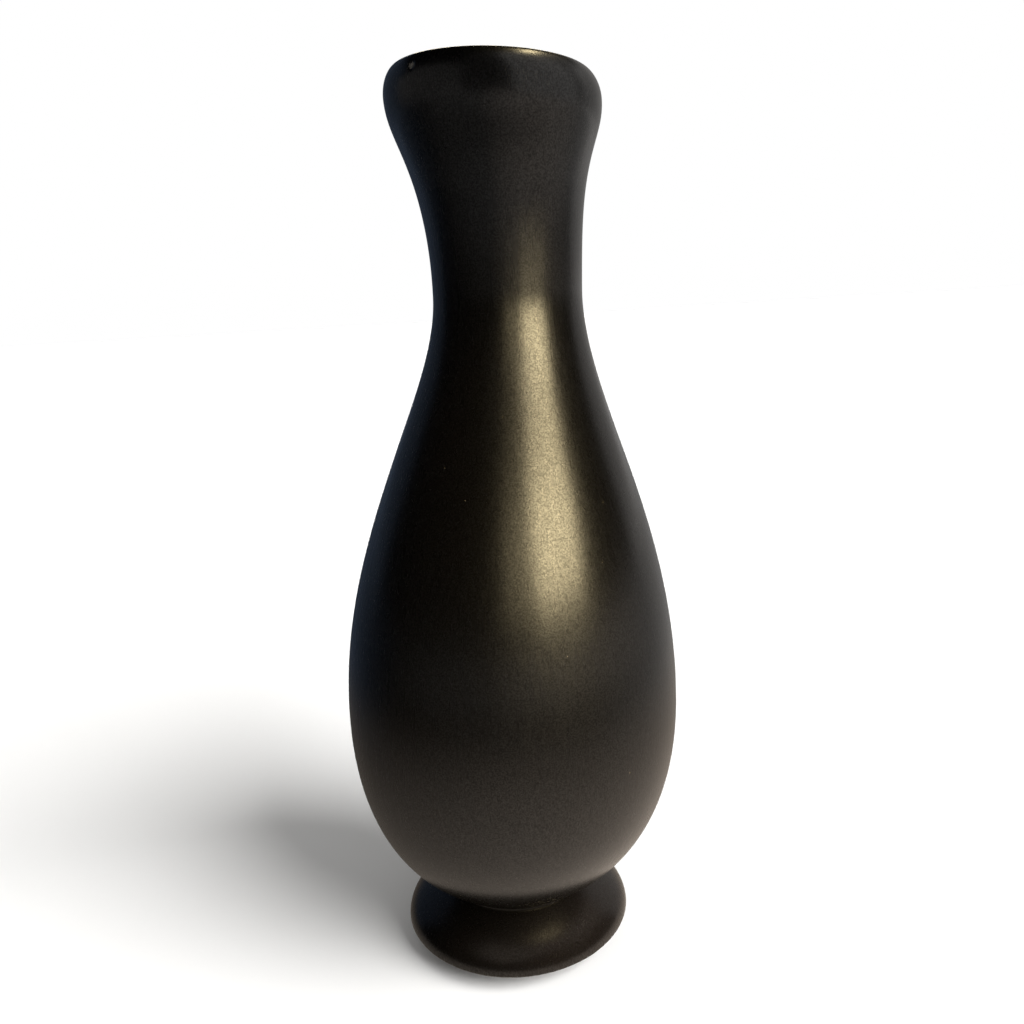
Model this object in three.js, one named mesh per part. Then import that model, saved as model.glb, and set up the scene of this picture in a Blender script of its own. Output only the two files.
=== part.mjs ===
// Burnished black clay pot (barro negro), hand built from a pinched bowl, a foot ring and coil courses.
// Millimetres, +Z up. The origin is on the ground under the middle of the belly, and the neck leans towards
// +X. Every piece is a ring or a bowl turned from one meridian, then carried sideways along the wandering
// centre line of a body that was built by hand.
import * as THREE from "three";

// Overall sizes
const HEIGHT = 280; // ground to the middle of the rim
const BELLY_RADIUS = 54.7;
const BELLY_HEIGHT = 84.7;
const WALL = 6; // fired thickness of bowl, coils and foot

// Foot
const REST_RADIUS = 28.5; // outer edge of the face that the pot stands on
const REST_WIDTH = 6; // width of that face
const FOOT_RADIUS = 38.6;
const FOOT_EDGE_HEIGHT = 6.6; // where the foot is widest
const FOOT_BEVEL_PULL = 1; // how upright the bevel ends at the widest line
const FOOT_SIDE_PULL = 6.5; // fullness of the foot's side above the widest line
const WAIST_RADIUS = 23.2; // crease between foot and bowl
const WAIST_HEIGHT = 20.6;
const WAIST_PULL = 3.8;
const FOOT_TOP_SLOPE = 0.81; // radians, of the foot's side where it runs into the crease
const SEAT_WIDTH = 6.2; // of the foot's seat under the bowl, in from the crease

// Body
const BOWL_SLOPE = 0.51; // radians, of the bowl's side where it leaves the crease
const BOWL_PULL = 24.2;
const BELLY_PULL_BELOW = 31;
const BELLY_PULL_ABOVE = 60.5;
const NECK_RADIUS = 22.9;
const NECK_DROP = 62.5; // rim down to the narrowest line of the neck
const NECK_PULL_BELOW = 31;
const NECK_PULL_ABOVE = 39;

// Mouth
const MOUTH_RADIUS = 31.8;
const MOUTH_DROP = 8; // rim down to the widest line of the mouth
const MOUTH_PULL_BELOW = 12;
const MOUTH_PULL_ABOVE = 4.6;
const RIM_RADIUS = 27.7; // ring along the top of the lip
const RIM_PULL = 1.6;
const RIM_ROLL_IN = 5; // how far down inside the lip's rounding ends
const MOUTH_TILT = 0.07; // rise of the rim towards -X, per millimetre

// Lean of the centre line towards +X, at equal steps of height from the ground to the rim
const LEAN = [-2.8, -0.7, 0.7, 3.3, 6.3, 4.9];

// Joints between the pieces
const BOWL_TOP = 52; // the pinched bowl ends here and the coils begin
const SHOULDER_START = 112;
const NECK_JOINT_DROP = 88; // rim down to the luted joint between shoulder and neck
const FLARE_JOINT_DROP = 31;
const LIP_JOINT_DROP = 13;
const BELLY_COILS = 3;
const SHOULDER_COILS = 4;
const NECK_COILS = 3;
const LAP_RISE = 5; // each joint is a cone, higher inside than outside by this much
const JOINT_GAP = 0.3;
const SLIP_THICKNESS = 1.2; // layer of slip in a joint that was made leather hard

// Fineness of the facets
const SEGMENTS = 40; // around; a multiple of four, so that both widths are true
const COIL_STEPS = 3;
const BOWL_STEPS = 6;
const CURVE_STEPS = 5;

const point = (r, z) => new THREE.Vector2(r, z);
const bezier = (...corners) => new THREE.CubicBezierCurve(...corners.map(([r, z]) => point(r, z)));
const steps = (count, from, to) =>
  Array.from({ length: count + 1 }, (_, i) => from + ((to - from) * i) / count);

// Where value(t) rises or falls through target, for t from 0 to end.
function solve(value, target, end) {
  let low = 0;
  let high = end;
  const rising = value(end) > value(0);
  for (let i = 0; i < 50; i += 1) {
    const middle = (low + high) / 2;
    if (value(middle) < target === rising) low = middle;
    else high = middle;
  }
  return (low + high) / 2;
}

// The bowl's underside is part of a ball that meets the crease at BOWL_SLOPE.
const BALL_RADIUS = WAIST_RADIUS / Math.sin(BOWL_SLOPE);
const BALL_HEIGHT = WAIST_HEIGHT + BALL_RADIUS * Math.cos(BOWL_SLOPE);

const ball = (angle, radius) => point(radius * Math.sin(angle), BALL_HEIGHT - radius * Math.cos(angle));

const underside = {
  getPoint: (t) => ball(t * BOWL_SLOPE, BALL_RADIUS),
  getTangent: (t) => point(Math.cos(t * BOWL_SLOPE), Math.sin(t * BOWL_SLOPE)),
};

const NECK_HEIGHT = HEIGHT - NECK_DROP;
const MOUTH_HEIGHT = HEIGHT - MOUTH_DROP;

// The outside of the vessel from the middle of its underside to the top of the lip.
const wall = [
  underside,
  bezier(
    [WAIST_RADIUS, WAIST_HEIGHT],
    [WAIST_RADIUS + BOWL_PULL * Math.cos(BOWL_SLOPE), WAIST_HEIGHT + BOWL_PULL * Math.sin(BOWL_SLOPE)],
    [BELLY_RADIUS, BELLY_HEIGHT - BELLY_PULL_BELOW],
    [BELLY_RADIUS, BELLY_HEIGHT],
  ),
  bezier(
    [BELLY_RADIUS, BELLY_HEIGHT],
    [BELLY_RADIUS, BELLY_HEIGHT + BELLY_PULL_ABOVE],
    [NECK_RADIUS, NECK_HEIGHT - NECK_PULL_BELOW],
    [NECK_RADIUS, NECK_HEIGHT],
  ),
  bezier(
    [NECK_RADIUS, NECK_HEIGHT],
    [NECK_RADIUS, NECK_HEIGHT + NECK_PULL_ABOVE],
    [MOUTH_RADIUS, MOUTH_HEIGHT - MOUTH_PULL_BELOW],
    [MOUTH_RADIUS, MOUTH_HEIGHT],
  ),
  bezier(
    [MOUTH_RADIUS, MOUTH_HEIGHT],
    [MOUTH_RADIUS, MOUTH_HEIGHT + MOUTH_PULL_ABOVE],
    [RIM_RADIUS + RIM_PULL, HEIGHT],
    [RIM_RADIUS, HEIGHT],
  ),
];
const MOUTH_END = wall.length - 1; // the wall keeps its full thickness up to the widest line of the mouth

// The foot's outside: a soft bevel from the ground, then the side up to the crease.
const footBevel = bezier(
  [REST_RADIUS, 0],
  [REST_RADIUS, 0],
  [FOOT_RADIUS, FOOT_EDGE_HEIGHT - FOOT_BEVEL_PULL],
  [FOOT_RADIUS, FOOT_EDGE_HEIGHT],
);
const footSide = bezier(
  [FOOT_RADIUS, FOOT_EDGE_HEIGHT],
  [FOOT_RADIUS, FOOT_EDGE_HEIGHT + FOOT_SIDE_PULL],
  [WAIST_RADIUS + WAIST_PULL * Math.cos(FOOT_TOP_SLOPE), WAIST_HEIGHT - WAIST_PULL * Math.sin(FOOT_TOP_SLOPE)],
  [WAIST_RADIUS, WAIST_HEIGHT],
);

// A point of the wall at a depth below its outside; along counts the curves of the wall.
function wallPoint(along, depth) {
  const index = Math.min(Math.floor(along), wall.length - 1);
  const spot = wall[index].getPoint(along - index);
  const heading = wall[index].getTangent(along - index);
  return point(spot.x - depth * heading.y, spot.y + depth * heading.x);
}

function wallAtHeight(height, depth) {
  return wallPoint(solve((along) => wallPoint(along, depth).y, height, MOUTH_END), depth);
}

// The heights of a joint cone's edges, for a joint at a height; raised moves it up, square to the cone.
const LAP_STRETCH = Math.hypot(WALL, LAP_RISE) / WALL;

function jointFace(height, raised = 0) {
  const middle = height + raised * LAP_STRETCH;
  return { outside: middle - LAP_RISE / 2, inside: middle + LAP_RISE / 2 };
}

const outsideRun = (count, from, to) => steps(count, from, to).map((z) => wallAtHeight(z, 0));
const insideRun = (count, from, to) => steps(count, from, to).map((z) => wallAtHeight(z, WALL));

// A ring of wall between two joint faces.
function wallRing(bottom, top, count = COIL_STEPS) {
  return [
    ...outsideRun(count, bottom.outside, top.outside),
    ...insideRun(count, top.inside, bottom.inside),
  ];
}

function bowlOutline(top) {
  const rise = solve((along) => wallPoint(along, 0).y, top.outside, MOUTH_END);
  const fall = solve((along) => wallPoint(along, WALL).y, top.inside, MOUTH_END);
  return [
    ...steps(CURVE_STEPS, 0, 1).map((along) => wallPoint(along, 0)),
    ...steps(BOWL_STEPS, 1, rise).slice(1).map((along) => wallPoint(along, 0)),
    ...steps(BOWL_STEPS, fall, 1).map((along) => wallPoint(along, WALL)),
    ...steps(CURVE_STEPS, 1, 0).slice(1).map((along) => wallPoint(along, WALL)),
  ];
}

function lipOutline(bottom) {
  const roundingEnd = HEIGHT - RIM_ROLL_IN;
  const inner = wallAtHeight(Math.min(roundingEnd, MOUTH_HEIGHT), WALL);
  const roll = bezier(
    [RIM_RADIUS, HEIGHT],
    [RIM_RADIUS - RIM_PULL, HEIGHT],
    [inner.x, inner.y + RIM_ROLL_IN / 2],
    [inner.x, inner.y],
  );
  return [
    ...outsideRun(2, bottom.outside, MOUTH_HEIGHT),
    ...wall[MOUTH_END].getPoints(CURVE_STEPS).slice(1),
    ...roll.getPoints(CURVE_STEPS - 1).slice(1),
    ...insideRun(2, inner.y, bottom.inside).slice(1),
  ];
}

// The foot's seat and the slip on it follow the ball of the underside, each a little further below it.
const SLIP_TOP = JOINT_GAP;
const SLIP_UNDER = SLIP_TOP + SLIP_THICKNESS;
const SEAT_UNDER = SLIP_UNDER + JOINT_GAP;
const HOLLOW_RADIUS = REST_RADIUS - REST_WIDTH;
const SEAT_INNER_RADIUS = WAIST_RADIUS - SEAT_WIDTH;

// The part of the foot's side that ends at a distance below the ball.
function footSideEnd(below) {
  const distance = (t) => footSide.getPoint(t).distanceTo(point(0, BALL_HEIGHT)) - BALL_RADIUS;
  return solve(distance, below, 1);
}

function seatArc(below, from, to) {
  const radius = BALL_RADIUS + below;
  return steps(CURVE_STEPS - 2, Math.asin(from / radius), Math.asin(to / radius)).map((a) => ball(a, radius));
}

function footOutline() {
  const end = footSideEnd(SEAT_UNDER);
  const crest = footSide.getPoint(end);
  return [
    point(HOLLOW_RADIUS, 0),
    ...footBevel.getPoints(CURVE_STEPS - 1),
    ...steps(CURVE_STEPS, 0, end).slice(1).map((t) => footSide.getPoint(t)),
    ...seatArc(SEAT_UNDER, crest.x, SEAT_INNER_RADIUS).slice(1),
  ];
}

function footSlipOutline() {
  const lower = footSide.getPoint(footSideEnd(SLIP_UNDER));
  const upper = footSide.getPoint(footSideEnd(SLIP_TOP));
  return [
    ...seatArc(SLIP_UNDER, SEAT_INNER_RADIUS, lower.x),
    ...seatArc(SLIP_TOP, upper.x, SEAT_INNER_RADIUS),
  ];
}

// Turns an outline round the Z axis; a ring's outline is closed on itself first.
function turned(outline) {
  const onAxis = outline[0].x < 1e-6;
  const loop = onAxis ? outline : [...outline, outline[0]];
  return new THREE.LatheGeometry(loop, SEGMENTS).rotateX(Math.PI / 2);
}

// Carries each point with the leaning centre line, and tips the mouth.
const centreLine = new THREE.SplineCurve(LEAN.map((x) => point(x, 0)));

function leanOver(geometry) {
  const spots = geometry.getAttribute("position");
  for (let i = 0; i < spots.count; i += 1) {
    const x = spots.getX(i);
    const z = spots.getZ(i);
    const reach = THREE.MathUtils.clamp((z - NECK_HEIGHT) / NECK_DROP, 0, 1);
    spots.setX(i, x + centreLine.getPoint(THREE.MathUtils.clamp(z / HEIGHT, 0, 1)).x);
    spots.setZ(i, z - MOUTH_TILT * reach ** 2 * x);
  }
  return geometry;
}

const burnished = { color: 0x1d1b1a, roughness: 0.32, metalness: 0 };
const slipCoat = { color: 0x242120, roughness: 0.6, metalness: 0 };

const pot = new THREE.Group();

function addPiece(name, outline, finish) {
  const piece = new THREE.Mesh(leanOver(turned(outline)), new THREE.MeshStandardMaterial(finish));
  piece.name = name;
  pot.add(piece);
}

// A stack of equal coil courses between two heights; firstGap is what the lowest one leaves below it.
function addCoils(name, count, from, to, firstGap) {
  const levels = steps(count, from, to);
  for (let i = 0; i < count; i += 1) {
    const bottom = jointFace(levels[i], i === 0 ? firstGap : JOINT_GAP);
    addPiece(`${name}_${i + 1}`, wallRing(bottom, jointFace(levels[i + 1])), burnished);
  }
}

const neckJoint = HEIGHT - NECK_JOINT_DROP;
const flareJoint = HEIGHT - FLARE_JOINT_DROP;
const lipJoint = HEIGHT - LIP_JOINT_DROP;

addPiece("foot_ring", footOutline(), burnished);
addPiece("foot_slip_seam", footSlipOutline(), slipCoat);
addPiece("base_bowl", bowlOutline(jointFace(BOWL_TOP)), burnished);
addCoils("belly_coil", BELLY_COILS, BOWL_TOP, SHOULDER_START, JOINT_GAP);
addCoils("shoulder_coil", SHOULDER_COILS, SHOULDER_START, neckJoint, JOINT_GAP);
addPiece(
  "neck_slip_seam",
  wallRing(jointFace(neckJoint, SLIP_TOP), jointFace(neckJoint, SLIP_UNDER), 1),
  slipCoat,
);
addCoils("neck_coil", NECK_COILS, neckJoint, flareJoint, SEAT_UNDER);
addPiece("mouth_flare", wallRing(jointFace(flareJoint, JOINT_GAP), jointFace(lipJoint)), burnished);
addPiece("lip_coil", lipOutline(jointFace(lipJoint, JOINT_GAP)), burnished);

export default pot;
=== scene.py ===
"""Hand-built black clay pot, smoke fired and burnished, standing in a small studio.

The pot is made again from the members that its potter joined: a foot ring, a pinched bowl, coil
courses, two seams of slip, a mouth and a lip. Each member is turned from an outline by one Geometry
Nodes tree, which also gives it the lean and the soft unevenness of hand work. Lengths are written in
millimetres and used in metres.
"""

import logging
import math
from dataclasses import dataclass
from enum import Enum
from functools import cached_property
from typing import Any, Callable

import bpy
from mathutils import Matrix, Vector


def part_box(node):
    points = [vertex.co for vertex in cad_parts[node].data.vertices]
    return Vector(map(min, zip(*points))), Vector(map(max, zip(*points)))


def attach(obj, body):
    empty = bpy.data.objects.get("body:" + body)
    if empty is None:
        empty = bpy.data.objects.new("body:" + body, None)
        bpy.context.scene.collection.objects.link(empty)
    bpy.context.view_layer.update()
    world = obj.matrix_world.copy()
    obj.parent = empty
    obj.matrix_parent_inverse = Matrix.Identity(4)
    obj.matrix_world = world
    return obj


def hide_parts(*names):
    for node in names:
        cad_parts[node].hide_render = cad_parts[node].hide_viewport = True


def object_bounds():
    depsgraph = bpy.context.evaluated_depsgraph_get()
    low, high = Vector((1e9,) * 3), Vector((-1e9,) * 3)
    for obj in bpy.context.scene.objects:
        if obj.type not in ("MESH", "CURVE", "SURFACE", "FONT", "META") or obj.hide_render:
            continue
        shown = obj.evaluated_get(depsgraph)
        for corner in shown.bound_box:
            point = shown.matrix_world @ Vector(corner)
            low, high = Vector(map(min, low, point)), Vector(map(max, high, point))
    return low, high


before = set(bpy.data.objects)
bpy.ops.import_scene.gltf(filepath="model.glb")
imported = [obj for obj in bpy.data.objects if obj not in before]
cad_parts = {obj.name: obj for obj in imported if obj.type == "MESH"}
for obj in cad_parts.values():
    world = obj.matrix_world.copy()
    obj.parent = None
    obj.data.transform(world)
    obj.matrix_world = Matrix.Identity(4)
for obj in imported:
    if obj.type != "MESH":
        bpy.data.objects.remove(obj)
cad_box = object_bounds()

MM = 0.001
BODY = "root"
SOLVER_STEPS = 50
HEADING_STEP = 1e-4  # share of a stretch over which its heading is measured
SEGMENTS = 256  # around a member

log = logging.getLogger("clay_pot")


# ---------------------------------------------------------------- small helpers


def to_linear(hex_colour: str) -> tuple[float, float, float, float]:
    """Turns an sRGB hex colour into the linear colour that a shader socket takes.

    Args:
        hex_colour: Six hex digits after a #.

    Returns:
        Linear red, green and blue, with an alpha of one.
    """
    channels = [int(hex_colour[i : i + 2], 16) / 255 for i in (1, 3, 5)]
    linear = [c / 12.92 if c <= 0.04045 else ((c + 0.055) / 1.055) ** 2.4 for c in channels]
    return (*linear, 1.0)


def add_node(
    tree: bpy.types.NodeTree,
    kind: str,
    inputs: dict[int | str, Any] | None = None,
    **settings: Any,
) -> bpy.types.Node:
    """Adds one node to a tree, with its settings, values and links.

    Args:
        tree: The tree that gets the node.
        kind: The node's type name.
        inputs: For each input, by name or place, a socket to link from or a value to set.
        **settings: Attributes of the node itself.

    Returns:
        The new node.
    """
    node = tree.nodes.new(kind)
    for name, value in settings.items():
        setattr(node, name, value)
    for key, value in (inputs or {}).items():
        if isinstance(value, bpy.types.NodeSocket):
            tree.links.new(value, node.inputs[key])
        else:
            node.inputs[key].default_value = value
    return node


def solve(value: Callable[[float], float], target: float, end: float) -> float:
    """Finds where a rising or falling function passes a target.

    Args:
        value: The function, over 0 to end.
        target: The value looked for.
        end: The far end of the search.

    Returns:
        The place of the target.
    """
    low, high = 0.0, end
    rising = value(end) > value(0.0)
    for _ in range(SOLVER_STEPS):
        middle = (low + high) / 2
        if (value(middle) < target) == rising:
            low = middle
        else:
            high = middle
    return (low + high) / 2


def steps(count: int, start: float, end: float) -> list[float]:
    """Gives count equal steps from start to end, both included."""
    return [start + (end - start) * i / count for i in range(count + 1)]


def edged_steps(count: int, start: float, end: float, edge: float = 0.06) -> list[float]:
    """Gives equal steps with one short step more at each end.

    The short steps keep the shading of a member true right up to its joints, so that neighbours run on
    from each other as one burnished surface.

    Args:
        count: Number of equal steps.
        start: First value.
        end: Last value.
        edge: The short step, as a share of an equal one.

    Returns:
        The values, both ends included.
    """
    even = steps(count, start, end)
    short = (end - start) / count * edge
    return [even[0], even[0] + short, *even[1:-1], even[-1] - short, even[-1]]


# ---------------------------------------------------------------- the shape of the body


class Skin(Enum):
    """How the surface along an outline was finished, as the weight that the turning tree reads."""

    BURNISHED = 0.0
    SCRAPED = 1.0


@dataclass(frozen=True)
class Station:
    """One point of an outline: radius and height, the way into the clay, and the skin's weight."""

    spot: Vector
    inset: Vector
    skin: float = Skin.BURNISHED.value


@dataclass(frozen=True)
class Bend:
    """A cubic stretch of an outline between four corners of radius and height."""

    corners: tuple[tuple[float, float], ...]

    def spot(self, t: float) -> Vector:
        """Gives a point of the stretch.

        Args:
            t: Place along it, from 0 to 1.

        Returns:
            Its radius and height.
        """
        a, b, c, d = (Vector(corner) for corner in self.corners)
        s = 1 - t
        return a * s**3 + b * (3 * s * s * t) + c * (3 * s * t * t) + d * t**3


@dataclass(frozen=True)
class BallArc:
    """A stretch along a ball that is centred on the axis, from its lowest point outwards."""

    radius: float
    height: float
    sweep: float

    def spot(self, t: float) -> Vector:
        """Gives the point at t, from 0 to 1."""
        angle = t * self.sweep
        return Vector((self.radius * math.sin(angle), self.height - self.radius * math.cos(angle)))


def heading(stretch: Bend | BallArc, t: float) -> Vector:
    """Gives the unit direction in which a stretch runs at t."""
    low, high = max(t - HEADING_STEP, 0.0), min(t + HEADING_STEP, 1.0)
    return (stretch.spot(high) - stretch.spot(low)).normalized()


def inward(direction: Vector) -> Vector:
    """Gives the way into the clay beside an outline that runs upwards on its outside."""
    return Vector((-direction.y, direction.x))


def station(stretch: Bend | BallArc, t: float, skin: float = Skin.BURNISHED.value) -> Station:
    """Gives the outline's point on a stretch, with its way into the clay."""
    return Station(stretch.spot(t), inward(heading(stretch, t)), skin)


def cubic_ease(share: float) -> float:
    """Eases from 0 to 1 with level ends."""
    return share * share * (3 - 2 * share)


def half_width(node: str) -> float:
    """Gives half of a CAD node's width across the lean, in millimetres."""
    low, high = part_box(node)
    return (high.y - low.y) / 2 / MM


def joint_height(below: str, above: str) -> float:
    """Gives the height of the joint between two CAD nodes, in millimetres."""
    return (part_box(below)[1].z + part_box(above)[0].z) / 2 / MM


@dataclass(frozen=True)
class Body:
    """The whole meridian of the pot and the line that its middle follows, in millimetres."""

    height: float = 280.0
    belly_radius: float = 54.7
    belly_height: float = 84.7
    wall: float = 6.0
    waist_radius: float = 23.2
    waist_height: float = 20.6
    bowl_slope: float = 0.51
    bowl_pull: float = 24.2
    belly_pull_below: float = 31.0
    belly_pull_above: float = 60.5
    neck_radius: float = 22.9
    neck_drop: float = 62.5
    neck_pull_below: float = 31.0
    neck_pull_above: float = 39.0
    mouth_radius: float = 31.8
    mouth_drop: float = 8.0
    mouth_pull_below: float = 12.0
    mouth_pull_above: float = 4.6
    rim_radius: float = 27.7
    rim_pull: float = 1.6
    mouth_tilt: float = 0.07
    lap_rise: float = 5.0
    lean: tuple[float, ...] = (-2.8, -0.7, 0.7, 3.3, 6.3, 4.9)

    @property
    def neck_height(self) -> float:
        """Height of the narrowest line of the neck."""
        return self.height - self.neck_drop

    @property
    def mouth_height(self) -> float:
        """Height of the widest line of the mouth."""
        return self.height - self.mouth_drop

    @cached_property
    def ball(self) -> BallArc:
        """The bowl's underside, which meets the crease at the bowl's slope."""
        radius = self.waist_radius / math.sin(self.bowl_slope)
        return BallArc(radius, self.waist_height + radius * math.cos(self.bowl_slope), self.bowl_slope)

    @cached_property
    def stretches(self) -> tuple[Bend | BallArc, ...]:
        """The outside of the vessel.

        Returns:
            Its stretches, from the middle of its underside to the top of the lip.
        """
        crease = (self.waist_radius, self.waist_height)
        leaving = (
            crease[0] + self.bowl_pull * math.cos(self.bowl_slope),
            crease[1] + self.bowl_pull * math.sin(self.bowl_slope),
        )
        belly = (self.belly_radius, self.belly_height)
        neck = (self.neck_radius, self.neck_height)
        mouth = (self.mouth_radius, self.mouth_height)
        rim = (self.rim_radius, self.height)
        return (
            self.ball,
            Bend((crease, leaving, (belly[0], belly[1] - self.belly_pull_below), belly)),
            Bend(
                (
                    belly,
                    (belly[0], belly[1] + self.belly_pull_above),
                    (neck[0], neck[1] - self.neck_pull_below),
                    neck,
                )
            ),
            Bend(
                (
                    neck,
                    (neck[0], neck[1] + self.neck_pull_above),
                    (mouth[0], mouth[1] - self.mouth_pull_below),
                    mouth,
                )
            ),
            Bend(
                (
                    mouth,
                    (mouth[0], mouth[1] + self.mouth_pull_above),
                    (rim[0] + self.rim_pull, rim[1]),
                    rim,
                )
            ),
        )

    def at(self, along: float, depth: float = 0.0) -> Station:
        """Gives a point of the wall.

        Args:
            along: Place on the outside, counted in stretches.
            depth: 0 on the outside, or the wall's thickness on the inside.

        Returns:
            The point, scraped where it is inside.
        """
        index = min(int(along), len(self.stretches) - 1)
        stretch = self.stretches[index]
        way_in = inward(heading(stretch, along - index))
        spot = stretch.spot(along - index) + way_in * depth
        if depth > 0:
            return Station(spot, -way_in, Skin.SCRAPED.value)
        return Station(spot, way_in)

    def place(self, height: float, depth: float = 0.0) -> float:
        """Finds the place along the wall at a height."""
        last = len(self.stretches) - 1
        return solve(lambda along: self.at(along, depth).spot.y, height, last)

    def run(self, count: int, start: float, end: float, depth: float = 0.0) -> list[Station]:
        """Gives the wall's points between two places along it, close together at both ends."""
        return [self.at(along, depth) for along in edged_steps(count, start, end)]

    def shift(self, height: float) -> float:
        """Gives how far the middle stands towards +X, on a smooth curve through the leans.

        Args:
            height: The height, in millimetres.

        Returns:
            The shift, in millimetres.
        """
        last = len(self.lean) - 1
        place = min(max(height / self.height, 0.0), 1.0) * last
        index = min(int(place), last - 1)
        t = place - index
        before, a, b, after = (self.lean[min(max(index + i, 0), last)] for i in (-1, 0, 1, 2))
        rise_a, rise_b = (b - before) / 2, (after - a) / 2
        cubed, squared = 2 * (a - b) + rise_a + rise_b, 3 * (b - a) - 2 * rise_a - rise_b
        return cubed * t**3 + squared * t**2 + rise_a * t + a

    def tip(self, height: float) -> float:
        """Gives the slope of a level line across the mouth at a height, which falls towards +X."""
        reach = min(max((height - self.neck_height) / self.neck_drop, 0.0), 1.0)
        return self.mouth_tilt * reach**2


@dataclass(frozen=True)
class Nick:
    """The place of the one small nick, in the shoulder of the lip at its left front."""

    turn: float = -133.0
    radius: float = 30.6
    height: float = 276.2

    def spot(self, body: Body) -> Vector:
        """Gives the nick's place on the leaning body.

        Args:
            body: The pot's shape.

        Returns:
            The place, in millimetres.
        """
        out, back = math.cos(math.radians(self.turn)), math.sin(math.radians(self.turn))
        drop = body.tip(self.height) * self.radius * out
        across = self.radius * out + body.shift(self.height)
        return Vector((across, self.radius * back, self.height - drop))


# ---------------------------------------------------------------- finishes


@dataclass(frozen=True)
class BurnishedClay:
    """Smoke-fired black clay, rubbed with a smooth stone before firing.

    The stone lays the clay's flakes flat, so the skin is a satin shine over near-black carbon: mirrors are
    blurred, lit patches break up into a fine peel, and strokes of the stone run up and down the body.
    """

    name: str = "burnished_black_clay"
    colour: str = "#060606"
    brown: str = "#0a0807"
    roughness: float = 0.28
    roughness_spread: float = 0.05  # between one rub of the stone and the next
    bare_roughness: float = 0.8  # of dust, and of the nick
    ior: float = 1.6  # clay glassed over by graphite-like carbon
    grain_mm: float = 0.45  # real flakes are about 0.2 mm, drawn coarser so that they show
    grain_depth_mm: float = 0.014
    dull_flake: float = 0.45  # share of the shine that the dullest flakes give
    flake_range: tuple[float, float] = (0.35, 0.65)  # of the grain, from the dullest to the brightest
    stroke_mm: float = 1.3  # width of one rub of the stone's edge
    stroke_length_mm: float = 40.0
    stroke_depth_mm: float = 0.008
    cloud_mm: float = 26.0
    dust: str = "#857a66"
    dust_spacing_mm: float = 6.0
    dust_radius_mm: float = 0.17
    dust_free: float = 0.4  # share of the grid's cells that hold no speck
    nick_colour: str = "#4e4b46"
    nick_radius_mm: float = 1.3
    nick_least: float = 0.4  # its narrowest reach, as a share of its radius
    nick_ragged_mm: float = 0.9  # size of the notches in its edge
    nick_range: tuple[float, float] = (0.3, 0.7)

    def material(self, nick: Vector) -> bpy.types.Material:
        """Builds the material.

        Args:
            nick: Place in metres of the small nick in the lip, which shows lighter bare clay.

        Returns:
            The material.
        """
        material = bpy.data.materials.new(self.name)
        material.use_nodes = True
        tree = material.node_tree
        shader = tree.nodes["Principled BSDF"]
        place = add_node(tree, "ShaderNodeTexCoord").outputs["Object"]

        cloud = add_node(tree, "ShaderNodeTexNoise", {"Vector": place, "Scale": 1 / (self.cloud_mm * MM)})
        body = add_node(
            tree,
            "ShaderNodeMix",
            {"Factor": cloud.outputs["Fac"], 6: to_linear(self.colour), 7: to_linear(self.brown)},
            data_type="RGBA",
        )
        dust = self._dust(tree, place)
        dusty = add_node(
            tree,
            "ShaderNodeMix",
            {"Factor": dust, 6: body.outputs[2], 7: to_linear(self.dust)},
            data_type="RGBA",
        )
        nicked = self._nick(tree, place, nick)
        colour = add_node(
            tree,
            "ShaderNodeMix",
            {"Factor": nicked, 6: dusty.outputs[2], 7: to_linear(self.nick_colour)},
            data_type="RGBA",
        )
        tree.links.new(colour.outputs[2], shader.inputs["Base Color"])

        stroke = self._strokes(tree, place)
        shine = add_node(
            tree,
            "ShaderNodeMapRange",
            {
                "Value": stroke,
                "To Min": self.roughness - self.roughness_spread,
                "To Max": self.roughness + self.roughness_spread,
            },
        )
        bare = add_node(tree, "ShaderNodeMath", {0: dust, 1: nicked}, operation="MAXIMUM")
        rough = add_node(
            tree,
            "ShaderNodeMix",
            {"Factor": bare.outputs[0], 2: shine.outputs[0], 3: self.bare_roughness},
        )
        tree.links.new(rough.outputs[0], shader.inputs["Roughness"])

        grain = add_node(
            tree,
            "ShaderNodeTexNoise",
            {"Vector": place, "Scale": 1 / (self.grain_mm * MM), "Detail": 1.0, "Roughness": 0.5},
        )
        flake = add_node(
            tree,
            "ShaderNodeMapRange",
            {
                "Value": grain.outputs["Fac"],
                "From Min": self.flake_range[0],
                "From Max": self.flake_range[1],
                "To Min": self.dull_flake,
            },
        )
        tree.links.new(flake.outputs[0], shader.inputs["Specular Tint"])
        fine = add_node(
            tree,
            "ShaderNodeBump",
            {"Strength": 1.0, "Distance": self.grain_depth_mm * MM, "Height": grain.outputs["Fac"]},
        )
        long = add_node(
            tree,
            "ShaderNodeBump",
            {
                "Strength": 1.0,
                "Distance": self.stroke_depth_mm * MM,
                "Height": stroke,
                "Normal": fine.outputs["Normal"],
            },
        )
        tree.links.new(long.outputs["Normal"], shader.inputs["Normal"])
        shader.inputs["IOR"].default_value = self.ior
        return material

    def _strokes(self, tree: bpy.types.NodeTree, place: bpy.types.NodeSocket) -> bpy.types.NodeSocket:
        """Draws rubs of the stone, narrow across and long up the body.

        Args:
            tree: The material's tree.
            place: The point of the surface.

        Returns:
            The pattern, from 0 to 1.
        """
        across, up = 1 / (self.stroke_mm * MM), 1 / (self.stroke_length_mm * MM)
        stretched = add_node(tree, "ShaderNodeMapping", {"Vector": place, "Scale": (across, across, up)})
        noise = add_node(
            tree,
            "ShaderNodeTexNoise",
            {"Vector": stretched.outputs[0], "Scale": 1.0, "Detail": 3.0, "Roughness": 0.55},
        )
        return noise.outputs["Fac"]

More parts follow.
